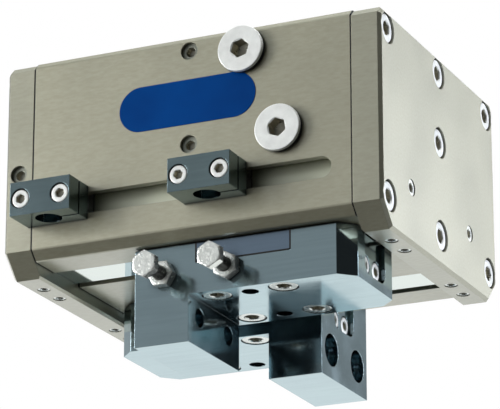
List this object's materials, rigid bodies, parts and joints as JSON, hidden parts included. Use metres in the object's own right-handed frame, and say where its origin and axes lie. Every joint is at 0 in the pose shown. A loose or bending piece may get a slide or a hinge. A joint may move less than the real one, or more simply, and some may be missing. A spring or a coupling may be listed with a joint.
{
  "type": "parallel gripper",
  "caption": "Pneumatic parallel gripper for a robot wrist: flat housing with end plates, two jaws that slide apart on guide rods, and slotted clamp blocks for jaw sensors.",
  "frame": {"origin": "centre of the top mounting face, where the gripper bolts to a robot's wrist", "axes": "+Z points out of the top mounting face, X is the jaws' stroke, -Y is the front face with the air ports and the sensor groove"},
  "size_m": [0.12, 0.1015, 0.091],
  "materials": {
    "housing": "hard anodised, satin",
    "plates": "hard anodised, satin",
    "jaws": "blackened, ground, semi-gloss",
    "base_jaws": "blackened, ground, semi-gloss",
    "clamps": "black anodised, satin",
    "strips": "polished",
    "screws": "bright zinc-nickel, semi-gloss",
    "plugs": "bright, semi-gloss",
    "bright_steel": "ground, bright",
    "gear_steel": "machined",
    "pistons": "machined",
    "bushes": "machined bronze",
    "seals": "matt",
    "name_plate": "glossy printed foil, left bare"
  },
  "bodies": {
    "housing": {"housing_block": "housing", "left_end_plate": "plates", "right_end_plate": "plates", "left_plate_screws": "screws", "right_plate_screws": "screws", "plate_foot_plugs": "plugs", "plate_side_plugs": "plugs", "front_duct_plugs": "plugs", "air_port_plugs": "screws", "cylinder_end_seals": "seals", "front_guide_rods": "bright_steel", "rear_guide_rods": "bright_steel", "front_cover_strip": "strips", "rear_cover_strip": "strips", "pinion_cover": "housing", "cover_screws": "screws", "pinion_bushes": "bushes"},
    "pinion": {"drive_pinion": "gear_steel"},
    "front_jaw_set": {"front_base_jaw": "base_jaws", "front_jaw": "jaws", "front_drive_piston": "pistons", "front_piston_seals": "seals", "front_guide_bushes": "bushes", "front_jaw_screws": "screws", "front_jaw_dowels": "bright_steel", "front_end_screws": "screws", "cam_bolts": "bright_steel", "cam_lock_nuts": "bright_steel"},
    "rear_jaw_set": {"rear_base_jaw": "base_jaws", "rear_jaw": "jaws", "rear_drive_piston": "pistons", "rear_piston_seals": "seals", "rear_guide_bushes": "bushes", "rear_jaw_screws": "screws", "rear_jaw_dowels": "bright_steel", "rear_end_screws": "screws"},
    "left_sensor_mount": {"left_sensor_clamp": "clamps", "left_clamp_screws": "screws", "left_groove_nut": "gear_steel"},
    "right_sensor_mount": {"right_sensor_clamp": "clamps", "right_clamp_screws": "screws", "right_groove_nut": "gear_steel"}
  },
  "joints": [
    {"name": "front_jaw_slide", "type": "slide", "parent": "housing", "child": "front_jaw_set", "axis": [-1, 0, 0], "range_m": [0, 0.03]},
    {"name": "rear_jaw_slide", "type": "slide", "parent": "housing", "child": "rear_jaw_set", "axis": [1, 0, 0], "range_m": [0, 0.03]},
    {"name": "pinion_turn", "type": "hinge", "parent": "housing", "child": "pinion", "pos_m": [0, 0, 0], "axis": [0, 0, -1], "range_deg": [0, 107.5]},
    {"name": "left_sensor_slide", "type": "slide", "parent": "housing", "child": "left_sensor_mount", "axis": [1, 0, 0], "range_m": [0, 0.018]},
    {"name": "right_sensor_slide", "type": "slide", "parent": "housing", "child": "right_sensor_mount", "axis": [1, 0, 0], "range_m": [-0.012, 0.024]}
  ],
  "couplings": [
    {"joint": "rear_jaw_slide", "follows": "front_jaw_slide", "ratio": 1},
    {"joint": "pinion_turn", "follows": "front_jaw_slide", "rad_per_m": 62.5}
  ]
}
